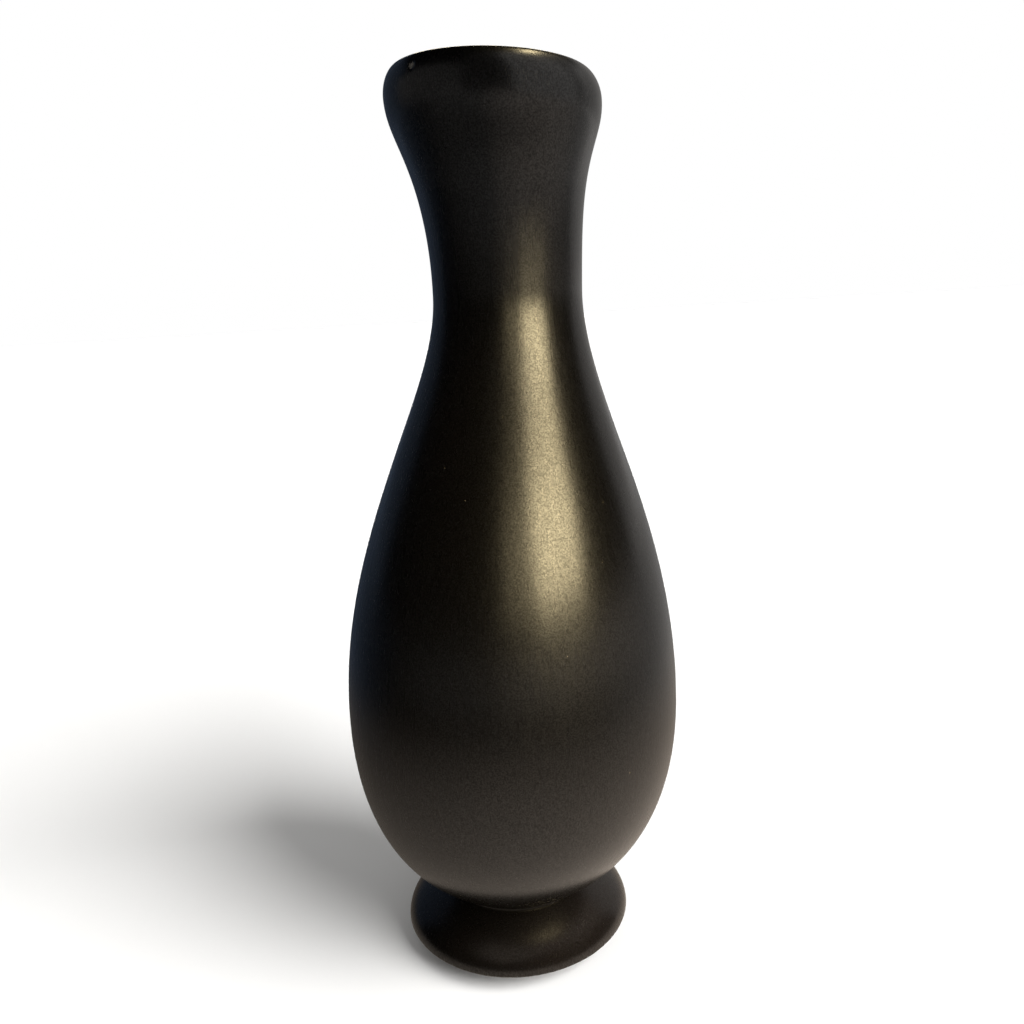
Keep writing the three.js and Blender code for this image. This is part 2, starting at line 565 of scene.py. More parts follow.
    def _dust(self, tree: bpy.types.NodeTree, place: bpy.types.NodeSocket) -> bpy.types.NodeSocket:
        """Draws stray specks of dust, one in some of the cells of a random grid.

        Args:
            tree: The material's tree.
            place: The point of the surface.

        Returns:
            One on a speck and zero elsewhere.
        """
        cells = add_node(
            tree,
            "ShaderNodeTexVoronoi",
            {"Vector": place, "Scale": 1 / (self.dust_spacing_mm * MM)},
        )
        reach = self.dust_radius_mm / self.dust_spacing_mm
        size = add_node(
            tree,
            "ShaderNodeMath",
            {0: cells.outputs["Color"], 1: self.dust_free},
            operation="SUBTRACT",
        )
        edge = add_node(tree, "ShaderNodeMath", {0: size.outputs[0], 1: 2 * reach}, operation="MULTIPLY")
        inside = add_node(
            tree,
            "ShaderNodeMath",
            {0: cells.outputs["Distance"], 1: edge.outputs[0]},
            operation="LESS_THAN",
        )
        return inside.outputs[0]

    def _nick(
        self, tree: bpy.types.NodeTree, place: bpy.types.NodeSocket, nick: Vector
    ) -> bpy.types.NodeSocket:
        """Draws the ragged spot of bare clay where the lip is nicked.

        Args:
            tree: The material's tree.
            place: The point of the surface.
            nick: The nick's middle, in metres.

        Returns:
            One on the nick and zero elsewhere.
        """
        away = add_node(tree, "ShaderNodeVectorMath", {0: place, 1: nick}, operation="DISTANCE")
        ragged = add_node(
            tree,
            "ShaderNodeTexNoise",
            {"Vector": place, "Scale": 1 / (self.nick_ragged_mm * MM)},
        )
        reach = add_node(
            tree,
            "ShaderNodeMapRange",
            {
                "Value": ragged.outputs["Fac"],
                "From Min": self.nick_range[0],
                "From Max": self.nick_range[1],
                "To Min": self.nick_least * self.nick_radius_mm * MM,
                "To Max": self.nick_radius_mm * MM,
            },
        )
        spot = add_node(
            tree,
            "ShaderNodeMath",
            {0: away.outputs["Value"], 1: reach.outputs[0]},
            operation="LESS_THAN",
        )
        return spot.outputs[0]


@dataclass(frozen=True)
class ScrapedClay:
    """The same clay where no stone reached: inside, and under the foot.

    It was scraped with a piece of gourd and left, so it is matt, a little greyer, and lined round the pot.
    """

    name: str = "scraped_black_clay"
    colour: str = "#1c1a18"
    pale: str = "#2a2724"
    roughness: float = 0.8
    ior: float = 1.5
    line_mm: float = 0.8
    line_length_mm: float = 30.0
    line_depth_mm: float = 0.12
    grit_mm: float = 0.6
    grit_share: float = 0.5  # depth of the grit, as a share of the lines'

    def material(self) -> bpy.types.Material:
        """Builds the material.

        Returns:
            The material.
        """
        material = bpy.data.materials.new(self.name)
        material.use_nodes = True
        tree = material.node_tree
        shader = tree.nodes["Principled BSDF"]
        place = add_node(tree, "ShaderNodeTexCoord").outputs["Object"]
        along, across = 1 / (self.line_length_mm * MM), 1 / (self.line_mm * MM)
        stretched = add_node(
            tree,
            "ShaderNodeMapping",
            {"Vector": place, "Scale": (along, along, across)},
        )
        lines = add_node(
            tree,
            "ShaderNodeTexNoise",
            {"Vector": stretched.outputs[0], "Scale": 1.0, "Detail": 3.0},
        )
        grit = add_node(
            tree,
            "ShaderNodeTexNoise",
            {"Vector": place, "Scale": 1 / (self.grit_mm * MM), "Detail": 4.0, "Roughness": 0.7},
        )
        colour = add_node(
            tree,
            "ShaderNodeMix",
            {"Factor": lines.outputs["Fac"], 6: to_linear(self.colour), 7: to_linear(self.pale)},
            data_type="RGBA",
        )
        tree.links.new(colour.outputs[2], shader.inputs["Base Color"])
        relief = add_node(
            tree,
            "ShaderNodeMath",
            {0: grit.outputs["Fac"], 1: self.grit_share, 2: lines.outputs["Fac"]},
            operation="MULTIPLY_ADD",
        )
        bump = add_node(
            tree,
            "ShaderNodeBump",
            {"Distance": self.line_depth_mm * MM, "Height": relief.outputs[0]},
        )
        tree.links.new(bump.outputs["Normal"], shader.inputs["Normal"])
        shader.inputs["Roughness"].default_value = self.roughness
        shader.inputs["IOR"].default_value = self.ior
        return material


@dataclass(frozen=True)
class FiredSlip:
    """Clay thinned with water, which luted the foot and the neck on and was wiped off with a finger.

    It is the same black with less shine, because the stone only skims a hollow.
    """

    name: str = "fired_slip"
    colour: str = "#080706"
    roughness: float = 0.42
    roughness_spread: float = 0.1
    ior: float = 1.5
    gleam: float = 0.3  # less than clay's half, as water left its flakes on edge
    wipe_mm: float = 2.5
    wipe_depth_mm: float = 0.05

    def material(self) -> bpy.types.Material:
        """Builds the material.

        Returns:
            The material.
        """
        material = bpy.data.materials.new(self.name)
        material.use_nodes = True
        tree = material.node_tree
        shader = tree.nodes["Principled BSDF"]
        place = add_node(tree, "ShaderNodeTexCoord").outputs["Object"]
        wipe = add_node(
            tree,
            "ShaderNodeTexNoise",
            {"Vector": place, "Scale": 1 / (self.wipe_mm * MM), "Detail": 3.0},
        )
        bump = add_node(
            tree,
            "ShaderNodeBump",
            {"Distance": self.wipe_depth_mm * MM, "Height": wipe.outputs["Fac"]},
        )
        shine = add_node(
            tree,
            "ShaderNodeMapRange",
            {
                "Value": wipe.outputs["Fac"],
                "To Min": self.roughness - self.roughness_spread,
                "To Max": self.roughness + self.roughness_spread,
            },
        )
        tree.links.new(bump.outputs["Normal"], shader.inputs["Normal"])
        tree.links.new(shine.outputs[0], shader.inputs["Roughness"])
        shader.inputs["Base Color"].default_value = to_linear(self.colour)
        shader.inputs["IOR"].default_value = self.ior
        shader.inputs["Specular IOR Level"].default_value = self.gleam
        return material


# ---------------------------------------------------------------- the turning tree


@dataclass(frozen=True)
class HandWork:
    """The soft unevenness that hands leave, in millimetres. It only ever goes into the clay."""

    wander: float = 0.12
    wander_length: float = 34.0
    rub: float = 0.028  # flats left by the burnishing stone
    rub_width: float = 7.0
    rub_length: float = 60.0
    ridge: float = 0.5  # marks of the fingers that thinned the wall from inside
    ridge_pitch: float = 7.5
    nick_depth: float = 0.45
    nick_radius: float = 1.6


class TurningTree:
    """A Geometry Nodes tree that turns an outline round the pot's leaning middle.

    The outline is a mesh of vertices in order, at (radius, 0, height). Its inset attribute holds the way
    into the clay. Its carry attribute holds the middle's shift, the tip of a level line and the skin's
    weight.
    """

    INSET = "inset"
    CARRY = "carry"
    SKIN = "skin"
    MERGE_DISTANCE = 1e-6
    SHARP_ANGLE = 0.7  # radians between two faces, from which their edge shows as one
    HALF_SCRAPED = 0.5  # the skin's weight from which a face counts as scraped
    SIZES = (
        "Wander",
        "Wander Length",
        "Rub",
        "Rub Width",
        "Rub Length",
        "Ridge",
        "Ridge Pitch",
        "Nick Depth",
        "Nick Radius",
    )

    def __init__(self, name: str = "turned_by_hand") -> None:
        """Builds the tree.

        Args:
            name: The name of the tree.
        """
        self.tree = bpy.data.node_groups.new(name, "GeometryNodeTree")
        sockets = self.tree.interface
        sockets.new_socket("Outline", in_out="INPUT", socket_type="NodeSocketGeometry")
        sockets.new_socket("Segments", in_out="INPUT", socket_type="NodeSocketInt")
        for size in self.SIZES:
            sockets.new_socket(size, in_out="INPUT", socket_type="NodeSocketFloat")
        sockets.new_socket("Nick", in_out="INPUT", socket_type="NodeSocketVector")
        sockets.new_socket("Outside", in_out="INPUT", socket_type="NodeSocketMaterial")
        sockets.new_socket("Inside", in_out="INPUT", socket_type="NodeSocketMaterial")
        sockets.new_socket("Piece", in_out="OUTPUT", socket_type="NodeSocketGeometry")
        self.given = add_node(self.tree, "NodeGroupInput").outputs
        self._build()

    def identifier(self, name: str) -> str:
        """Gives the identifier of a named input, by which a modifier's value is set.

        Args:
            name: The input's name.

        Returns:
            Its identifier.

        Raises:
            KeyError: If the tree has no such input.
        """
        for item in self.tree.interface.items_tree:
            if item.name == name and item.in_out == "INPUT":
                return item.identifier
        raise KeyError(name)

    def _math(self, operation: str, *values: Any) -> bpy.types.NodeSocket:
        """Adds one step of arithmetic on numbers, which may be sockets or values."""
        node = add_node(self.tree, "ShaderNodeMath", dict(enumerate(values)), operation=operation)
        return node.outputs[0]

    def _build(self) -> None:
        """Links the stages of the tree."""
        tree = self.tree
        rows = add_node(
            tree,
            "GeometryNodeAttributeDomainSize",
            {"Geometry": self.given["Outline"]},
            component="MESH",
        ).outputs["Point Count"]
        columns = self._math("ADD", self.given["Segments"], 1.0)
        grid = add_node(
            tree,
            "GeometryNodeMeshGrid",
            {"Size X": 1.0, "Size Y": 1.0, "Vertices X": columns, "Vertices Y": rows},
        )
        index = add_node(tree, "GeometryNodeInputIndex").outputs[0]
        row = add_node(
            tree,
            "FunctionNodeIntegerMath",
            {0: index, 1: rows},
            operation="MODULO",
        ).outputs[0]
        column = add_node(
            tree,
            "FunctionNodeIntegerMath",
            {0: index, 1: rows},
            operation="DIVIDE_FLOOR",
        ).outputs[0]
        turn = self._math("DIVIDE", self._math("MULTIPLY", column, math.tau), self.given["Segments"])
        cosine, sine = self._math("COSINE", turn), self._math("SINE", turn)

        spot = self._sampled(add_node(tree, "GeometryNodeInputPosition").outputs[0], row)
        inset = self._sampled(self._named(self.INSET), row)
        carry = self._sampled(self._named(self.CARRY), row)
        shift, tip, skin = carry["X"], carry["Y"], carry["Z"]
        out_x = self._math("MULTIPLY", spot["X"], cosine)
        placed = add_node(
            tree,
            "ShaderNodeCombineXYZ",
            {
                "X": self._math("ADD", out_x, shift),
                "Y": self._math("MULTIPLY", spot["X"], sine),
                "Z": self._math("SUBTRACT", spot["Z"], self._math("MULTIPLY", tip, out_x)),
            },
        ).outputs[0]
        way_in = add_node(
            tree,
            "ShaderNodeCombineXYZ",
            {
                "X": self._math("MULTIPLY", inset["X"], cosine),
                "Y": self._math("MULTIPLY", inset["X"], sine),
                "Z": inset["Z"],
            },
        ).outputs[0]
        depth = self._depth(placed, skin)
        moved = add_node(tree, "ShaderNodeVectorMath", {0: way_in, "Scale": depth}, operation="SCALE")
        worked = add_node(
            tree,
            "ShaderNodeVectorMath",
            {0: placed, 1: moved.outputs[0]},
            operation="ADD",
        )
        # The skin's weight is kept before the rows merge, so that each face knows its side.
        kept = add_node(
            tree,
            "GeometryNodeStoreNamedAttribute",
            {"Geometry": grid.outputs["Mesh"], "Name": self.SKIN, "Value": skin},
            data_type="FLOAT",
            domain="POINT",
        )
        shaped = add_node(
            tree,
            "GeometryNodeSetPosition",
            {"Geometry": kept.outputs[0], "Position": worked.outputs[0]},
        )
        merged = add_node(
            tree,
            "GeometryNodeMergeByDistance",
            {"Geometry": shaped.outputs[0], "Distance": self.MERGE_DISTANCE},
        )
        smooth = add_node(
            tree,
            "GeometryNodeSetShadeSmooth",
            {"Geometry": merged.outputs[0], "Shade Smooth": True},
            domain="FACE",
        )
        angle = add_node(tree, "GeometryNodeInputMeshEdgeAngle").outputs["Unsigned Angle"]
        gentle = add_node(
            tree,
            "FunctionNodeCompare",
            {0: angle, 1: self.SHARP_ANGLE},
            data_type="FLOAT",
            operation="LESS_THAN",
        )
        edged = add_node(
            tree,
            "GeometryNodeSetShadeSmooth",
            {"Geometry": smooth.outputs[0], "Shade Smooth": gentle.outputs[0]},
            domain="EDGE",
        )
        whole = add_node(tree, "GeometryNodeRealizeInstances", {"Geometry": edged.outputs[0]})
        outside = add_node(
            tree,
            "GeometryNodeSetMaterial",
            {"Geometry": whole.outputs[0], "Material": self.given["Outside"]},
        )
        unburnished = add_node(
            tree,
            "FunctionNodeCompare",
            {0: self._named(self.SKIN, "FLOAT"), 1: self.HALF_SCRAPED},
            data_type="FLOAT",
            operation="GREATER_THAN",
        )
        inside = add_node(
            tree,
            "GeometryNodeSetMaterial",
            {
                "Geometry": outside.outputs[0],
                "Selection": unburnished.outputs[0],
                "Material": self.given["Inside"],
            },
        )
        add_node(tree, "NodeGroupOutput", {"Piece": inside.outputs[0]})

    def _named(self, name: str, kind: str = "FLOAT_VECTOR") -> bpy.types.NodeSocket:
        """Reads a named attribute."""
        node = add_node(
            self.tree,
            "GeometryNodeInputNamedAttribute",
            {"Name": name},
            data_type=kind,
        )
        return node.outputs["Attribute"]

    def _sampled(self, value: bpy.types.NodeSocket, row: bpy.types.NodeSocket) -> Any:
        """Reads a vector of the outline at a row.

        Args:
            value: The vector, as a field on the outline.
            row: The row.

        Returns:
            The vector's parts, by name.
        """
        sample = add_node(
            self.tree,
            "GeometryNodeSampleIndex",
            {"Geometry": self.given["Outline"], "Value": value, "Index": row},
            data_type="FLOAT_VECTOR",
            domain="POINT",
        )
        return add_node(self.tree, "ShaderNodeSeparateXYZ", {0: sample.outputs[0]}).outputs

    def _depth(self, placed: bpy.types.NodeSocket, skin: bpy.types.NodeSocket) -> bpy.types.NodeSocket:
        """Works out how far each point lies into the clay.

        It depends only on the place, so that members agree where they meet.

        Args:
            placed: The point before hand work.
            skin: The skin's weight, 0 outside and 1 inside.

        Returns:
            The depth.
        """
        tree, given = self.tree, self.given
        broad = add_node(
            tree,
            "ShaderNodeTexNoise",
            {
                "Vector": placed,
                "Scale": self._math("DIVIDE", 1.0, given["Wander Length"]),
                "Detail": 1.0,
            },
        )
        rub_scale = add_node(
            tree,
            "ShaderNodeCombineXYZ",
            {
                "X": self._math("DIVIDE", 1.0, given["Rub Width"]),
                "Y": self._math("DIVIDE", 1.0, given["Rub Width"]),
                "Z": self._math("DIVIDE", 1.0, given["Rub Length"]),
            },
        )
        stretched = add_node(
            tree,
            "ShaderNodeVectorMath",
            {0: placed, 1: rub_scale.outputs[0]},
            operation="MULTIPLY",
        )
        rubs = add_node(
            tree,
            "ShaderNodeTexNoise",
            {"Vector": stretched.outputs[0], "Scale": 1.0, "Detail": 0.0},
        )
        outside = self._math(
            "MULTIPLY_ADD",
            rubs.outputs["Fac"],
            given["Rub"],
            self._math("MULTIPLY", broad.outputs["Fac"], given["Wander"]),
        )
        height = add_node(tree, "ShaderNodeSeparateXYZ", {0: placed}).outputs["Z"]
        wavering = self._math("MULTIPLY_ADD", broad.outputs["Fac"], given["Ridge Pitch"], height)
        cycle = self._math("DIVIDE", wavering, given["Ridge Pitch"])
        wave = self._math("SINE", self._math("MULTIPLY", math.tau, cycle))
        inside = self._math("MULTIPLY", self._math("MULTIPLY_ADD", wave, 0.5, 0.5), given["Ridge"])
        skinned = add_node(tree, "ShaderNodeMix", {"Factor": skin, 2: outside, 3: inside}).outputs[0]
        away = add_node(tree, "ShaderNodeVectorMath", {0: placed, 1: given["Nick"]}, operation="DISTANCE")
        nick = add_node(
            tree,
            "ShaderNodeMapRange",
            {
                "Value": away.outputs["Value"],
                "From Min": given["Nick Radius"],
                "From Max": 0.0,
                "To Min": 0.0,
                "To Max": given["Nick Depth"],
            },
            interpolation_type="SMOOTHSTEP",
        )
        return self._math("ADD", skinned, nick.outputs[0])


@dataclass(frozen=True)
class Workshop:
    """What every member is made with: the body's shape, the tree, the hand work and the finishes."""

    body: Body
    turning: TurningTree
    hand: HandWork
    nick: Vector
    burnished: bpy.types.Material
    scraped: bpy.types.Material
    slip: bpy.types.Material
    segments: int

    def make(
        self,
        node: str,
        outline: list[Station],
        finer: int = 1,
        outside: bpy.types.Material | None = None,
    ) -> bpy.types.Object:
        """Turns an outline into a finished member that stands for a CAD node.

        Args:
            node: The CAD node.
            outline: Its points, up the outside and down the inside.
            finer: How many times more segments the member has than the others.
            outside: The finish of its outside, if it isn't burnished.

        Returns:
            The member, as a plain mesh at the origin.
        """
        blank = self._blank(f"{node}_outline", outline)
        modifier = blank.modifiers.new("turn", "NODES")
        modifier.node_group = self.turning.tree
        values = {
            "Segments": self.segments * finer,
            "Wander": self.hand.wander * MM,
            "Wander Length": self.hand.wander_length * MM,
            "Rub": self.hand.rub * MM,
            "Rub Width": self.hand.rub_width * MM,
            "Rub Length": self.hand.rub_length * MM,
            "Ridge": self.hand.ridge * MM,
            "Ridge Pitch": self.hand.ridge_pitch * MM,
            "Nick Depth": self.hand.nick_depth * MM,
            "Nick Radius": self.hand.nick_radius * MM,
            "Nick": self.nick,
            "Outside": outside or self.burnished,
            "Inside": self.scraped,
        }
        for name, value in values.items():
            modifier[self.turning.identifier(name)] = value
        bpy.context.view_layer.update()
        turned = blank.evaluated_get(bpy.context.evaluated_depsgraph_get())
        mesh = bpy.data.meshes.new_from_object(turned)
        mesh.name = f"{node}_clay"
        piece = bpy.data.objects.new(f"{node}_clay", mesh)
        bpy.context.scene.collection.objects.link(piece)
        bpy.data.objects.remove(blank)
        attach(piece, BODY)
        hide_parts(node)
        return piece

    def _blank(self, name: str, outline: list[Station]) -> bpy.types.Object:
        """Makes the outline's own mesh, closed on itself unless it starts on the axis.

        Args:
            name: The mesh's name.
            outline: The outline's points.

        Returns:
            The outline, ready to be turned.
        """
        closed = outline if outline[0].spot.x < self.turning.MERGE_DISTANCE else [*outline, outline[0]]
        spots = [(s.spot.x * MM, 0.0, s.spot.y * MM) for s in closed]
        mesh = bpy.data.meshes.new(name)
        mesh.from_pydata(spots, [(i, i + 1) for i in range(len(spots) - 1)], [])
        inset = mesh.attributes.new(self.turning.INSET, "FLOAT_VECTOR", "POINT")
        carry = mesh.attributes.new(self.turning.CARRY, "FLOAT_VECTOR", "POINT")
        for i, s in enumerate(closed):
            inset.data[i].vector = (s.inset.x, 0.0, s.inset.y)
            carry.data[i].vector = (self.body.shift(s.spot.y) * MM, self.body.tip(s.spot.y), s.skin)
        blank = bpy.data.objects.new(name, mesh)
        bpy.context.scene.collection.objects.link(blank)
        return blank


# ---------------------------------------------------------------- the members


@dataclass(frozen=True)
class Lap:
    """A joint between two members: a cone, higher inside the wall than outside."""

    height: float
    rise: float

    @property
    def outside(self) -> float:
        """Height of the joint's edge on the outside."""
        return self.height - self.rise / 2

    @property
    def inside(self) -> float:
        """Height of the joint's edge on the inside."""
        return self.height + self.rise / 2


@dataclass(frozen=True)
class WallRing:
    """A course of the wall between two laps."""

    node: str
    below: Lap
    above: Lap
    slot: str = "burnished_clay"
    step_mm: float = 1.2
    fewest_steps: int = 3

    def outline(self, body: Body) -> list[Station]:
        """Gives the course's outline, up the outside and down the inside.

        Args:
            body: The pot's shape.

        Returns:
            The outline.
        """
        count = max(self.fewest_steps, round((self.above.height - self.below.height) / self.step_mm))
        outer = [body.place(lap.outside) for lap in (self.below, self.above)]
        inner = [body.place(lap.inside, body.wall) for lap in (self.above, self.below)]
        return [*body.run(count, *outer), *body.run(count, *inner, depth=body.wall)]

    def build(self, shop: Workshop) -> list[bpy.types.Object]:
        """Makes the course."""
        return [shop.make(self.node, self.outline(shop.body))]


@dataclass(frozen=True)
class FootRing:
    """The flared ring that the pot stands on, formed by itself and luted under the bowl."""

    node: str = "foot_ring"
    seam_node: str = "foot_slip_seam"
    rest_radius: float = 28.5
    rest_width: float = 6.0
    edge_height: float = 6.6
    bevel_pull: float = 1.0
    side_pull: float = 6.5
    waist_pull: float = 3.8
    top_slope: float = 0.81
    seat_width: float = 6.2
    slip: float = 1.8  # thickness of the slip between the seat and the bowl
    cove_reach: float = 0.045  # how far up the bowl the slip is wiped, as a share of the bowl's side
    cove_hollow: float = 0.6  # how near the cove comes to the crease, as a share of the way
    bond: float = 0.05  # how far the slip reaches into the bowl's skin
    rounding: float = 0.5  # of the edges where a wet finger passed
    hollow_start: float = 0.08  # where the inner face's steps start below the seat, as a share of it
    side_steps: int = 22
    bevel_steps: int = 14
    seat_steps: int = 8
    cove_steps: int = 8
    hollow_steps: int = 10
    edge_steps: int = 4

    @property
    def radius(self) -> float:
        """The foot's widest radius, from the frame."""
        return half_width(self.node)

    @property
    def bevel(self) -> Bend:
        """The soft bevel of the foot.

        Returns:
            The bevel, from the ground to the foot's widest line.
        """
        start = (self.rest_radius, 0.0)
        widest = (self.radius, self.edge_height)
        return Bend((start, start, (widest[0], widest[1] - self.bevel_pull), widest))

    def side(self, body: Body) -> Bend:
        """Gives the foot's side.

        Args:
            body: The pot's shape.

        Returns:
            The side, from its widest line up to the crease.
        """
        waist = (body.waist_radius, body.waist_height)
        arriving = (
            waist[0] + self.waist_pull * math.cos(self.top_slope),
            waist[1] - self.waist_pull * math.sin(self.top_slope),
        )
        widest = (self.radius, self.edge_height)
        return Bend((widest, (widest[0], widest[1] + self.side_pull), arriving, waist))

    def crest(self, body: Body) -> float:
        """Finds the place on the side where the foot ends and the slip begins.

        Args:
            body: The pot's shape.

        Returns:
            The place, from 0 to 1 along the side.
        """
        middle = Vector((0.0, body.ball.height))
        side = self.side(body)
        return solve(lambda t: (side.spot(t) - middle).length - body.ball.radius, self.slip, 1.0)

    def seat(self, body: Body, below: float, start: float, end: float, skin: float) -> list[Station]:
        """Gives an arc concentric with the bowl's ball.

        Args:
            body: The pot's shape.
            below: Distance below the ball.
            start: Radius at which the arc starts.
            end: Radius at which it ends.
            skin: The skin's weight.

        Returns:
            The arc's points.
        """
        radius = body.ball.radius + below
        points = []
        for angle in steps(self.seat_steps, math.asin(start / radius), math.asin(end / radius)):
            spot = Vector((radius * math.sin(angle), body.ball.height - radius * math.cos(angle)))
            points.append(Station(spot, Vector((0.0, 0.0)), skin))
        return points

    def hollow(self, body: Body) -> list[Station]:
        """Gives the foot's inner face, with rounded edges.

        Args:
            body: The pot's shape.

        Returns:
            Its points, from the seat down to the ground.
        """
        inner = body.waist_radius - self.seat_width
        top = self.seat(body, self.slip, body.waist_radius, inner, Skin.SCRAPED.value)[-1].spot
        foot = Vector((self.rest_radius - self.rest_width, 0.0))
        down = (foot - top).normalized()
        out = Vector((1.0, 0.0))
        rounded = Bend(
            (
                tuple(foot - down * self.rounding),
                tuple(foot),
                tuple(foot),
                tuple(foot + out * self.rounding),
            )
        )
        shares = steps(self.hollow_steps, self.hollow_start, 1.0)
        straight = [top.lerp(foot - down * self.rounding, t) for t in shares]
        spots = [*straight, *(rounded.spot(t) for t in steps(self.edge_steps, 0.0, 1.0)[1:])]
        return [Station(spot, inward(down), Skin.SCRAPED.value) for spot in spots]

    def outline(self, body: Body) -> list[Station]:
        """Gives the ring's outline.

        Args:
            body: The pot's shape.

        Returns:
            The outline, from the inner edge of its rest.
        """
        side = self.side(body)
        crest = self.crest(body)
        end = side.spot(crest)
        inner = body.waist_radius - self.seat_width
        still = Vector((0.0, 0.0))
        scraped = Skin.SCRAPED.value
        rest_edge = Station(Vector((self.rest_radius - self.rounding, 0.0)), still, scraped)
        return [
            rest_edge,
            *(station(self.bevel, t) for t in steps(self.bevel_steps, 0.0, 1.0)[1:]),
            *(station(side, t) for t in edged_steps(self.side_steps, 0.0, crest)[1:]),
            *self.seat(body, self.slip, end.x, inner, scraped)[1:],
            *self.hollow(body),
        ]

    def seam_outline(self, body: Body) -> list[Station]:
        """Gives the slip's outline.

        Args:
            body: The pot's shape.

        Returns:
            The outline: along the seat, up the wiped cove, and back along the bowl.
        """
        side, crest = self.side(body), self.crest(body)
        scraped = Skin.SCRAPED.value
        inner = body.waist_radius - self.seat_width
        low, corner = side.spot(crest), side.spot(1.0)
        high = body.at(1 + self.cove_reach).spot
        cove = Bend(
            (
                tuple(low),
                tuple(low.lerp(corner, self.cove_hollow)),
                tuple(high.lerp(corner, self.cove_hollow)),
                tuple(high),
            )
        )
        return [
            *self.seat(body, self.slip, inner, low.x, scraped),
            *(station(cove, t) for t in steps(self.cove_steps, 0.0, 1.0)[1:-1]),
            body.at(1 + self.cove_reach),
            *self.seat(body, -self.bond, corner.x, inner, scraped),
        ]

    def build(self, shop: Workshop) -> list[bpy.types.Object]:
        """Makes the ring and its seam of slip.

        Args:
            shop: What it is made with.

        Returns:
            The ring and the seam.
        """
        return [
            shop.make(self.node, self.outline(shop.body)),
            shop.make(self.seam_node, self.seam_outline(shop.body), outside=shop.slip),
        ]


@dataclass(frozen=True)
class PinchedBowl:
    """The bottom of the pot, opened from one lump of clay."""

    node: str
    above: Lap
    burnished_from: float  # radius at which the foot's slip starts
    under_steps: int = 20
    side_steps: int = 40

    def outline(self, body: Body) -> list[Station]:
        """Gives the bowl's outline.

        Args:
            body: The pot's shape.

        Returns:
            The outline, from the middle of its underside to the middle of its floor.
        """
        rise = body.place(self.above.outside)
        fall = body.place(self.above.inside, body.wall)
        under = [body.at(along) for along in steps(self.under_steps, 0.0, 1.0)]
        hidden = Skin.SCRAPED.value
        return [
            *(Station(s.spot, s.inset, hidden) if s.spot.x < self.burnished_from else s for s in under),
            *body.run(self.side_steps, 1.0, rise)[1:],
            *body.run(self.side_steps, fall, 1.0, depth=body.wall),
            *(body.at(along, body.wall) for along in steps(self.under_steps, 1.0, 0.0)[1:]),
        ]

    def build(self, shop: Workshop) -> list[bpy.types.Object]:
        """Makes the bowl."""
        return [shop.make(self.node, self.outline(shop.body))]


@dataclass(frozen=True)
class Lip:
    """The last coil, rolled over the edge and rounded."""

    node: str
    below: Lap
    roll_in: float = 5.0  # how far down inside its rounding ends
    finer: int = 2
    wall_steps: int = 10
    shoulder_steps: int = 22
    roll_steps: int = 16
    inside_steps: int = 6

    def outline(self, body: Body) -> list[Station]:
        """Gives the lip's outline.

        Args:
            body: The pot's shape.

        Returns:
            The outline, over the top and down inside.
        """
        roll_end = min(body.height - self.roll_in, body.mouth_height)
        inner = body.at(body.place(roll_end, body.wall), body.wall)
        roll = Bend(
            (
                (body.rim_radius, body.height),
                (body.rim_radius - body.rim_pull, body.height),
                (inner.spot.x, inner.spot.y + self.roll_in / 2),
                tuple(inner.spot),
            )
        )
        last = len(body.stretches) - 1
        start = body.place(self.below.outside)
        foot = body.place(self.below.inside, body.wall)
        inner_place = body.place(inner.spot.y, body.wall)
        return [
            *body.run(self.wall_steps, start, last)[:-2],
            *(body.at(along) for along in steps(self.shoulder_steps, last, last + 1)),
            *(station(roll, t, cubic_ease(t)) for t in steps(self.roll_steps, 0.0, 1.0)[1:-1]),
            *body.run(self.inside_steps, inner_place, foot, depth=body.wall),
        ]

    def build(self, shop: Workshop) -> list[bpy.types.Object]:
        """Makes the lip."""
        return [shop.make(self.node, self.outline(shop.body), finer=self.finer)]


@dataclass(frozen=True)
class ClayPot:
    """The whole pot, in the order in which a potter builds it."""

    shop: Workshop
    seam_width: float = 2.34  # of the neck's slip, measured up the wall
    coil_groups: tuple[tuple[str, int], ...] = (
        ("belly_coil", 3),
        ("shoulder_coil", 4),
        ("neck_coil", 3),
    )

    @property
    def courses(self) -> list[str]:
        """The names of the wall's members from the bowl to the lip, without the neck's slip."""
        coils = [f"{name}_{i + 1}" for name, count in self.coil_groups for i in range(count)]
        return ["base_bowl", *coils, "mouth_flare", "lip_coil"]

    def laps(self) -> dict[str, tuple[Lap | None, Lap | None]]:
        """Gives the joints, at the heights that the frame gives.

        Returns:
            Each member's lower and upper joint, by its node.
        """
        rise = self.shop.body.lap_rise
        names = self.courses
        seam = Lap(joint_height("shoulder_coil_4", "neck_slip_seam"), rise)
        seam_top = Lap(seam.height + self.seam_width, rise)
        joints = {}
        lower = None
        for name, following in zip(names, [*names[1:], None]):
            if name == "shoulder_coil_4":
                upper, start = seam, seam_top
                joints["neck_slip_seam"] = (seam, seam_top)
            else:
                upper = Lap(joint_height(name, following), rise) if following else None
                start = upper
            joints[name] = (lower, upper)
            lower = start
        return joints

    def build(self) -> list[bpy.types.Object]:
        """Makes every member.

        Returns:
            The members, from the foot to the lip.
        """
        laps = self.laps()
        foot = FootRing()
        inner_seat = self.shop.body.waist_radius - foot.seat_width
        pieces = foot.build(self.shop)
        pieces += PinchedBowl("base_bowl", laps["base_bowl"][1], inner_seat).build(self.shop)
        for node in self.courses[1:-1]:
            pieces += WallRing(node, *laps[node]).build(self.shop)
        pieces += WallRing("neck_slip_seam", *laps["neck_slip_seam"], slot="slip").build(self.shop)
        pieces += Lip("lip_coil", laps["lip_coil"][0]).build(self.shop)
        return pieces


# ---------------------------------------------------------------- the studio


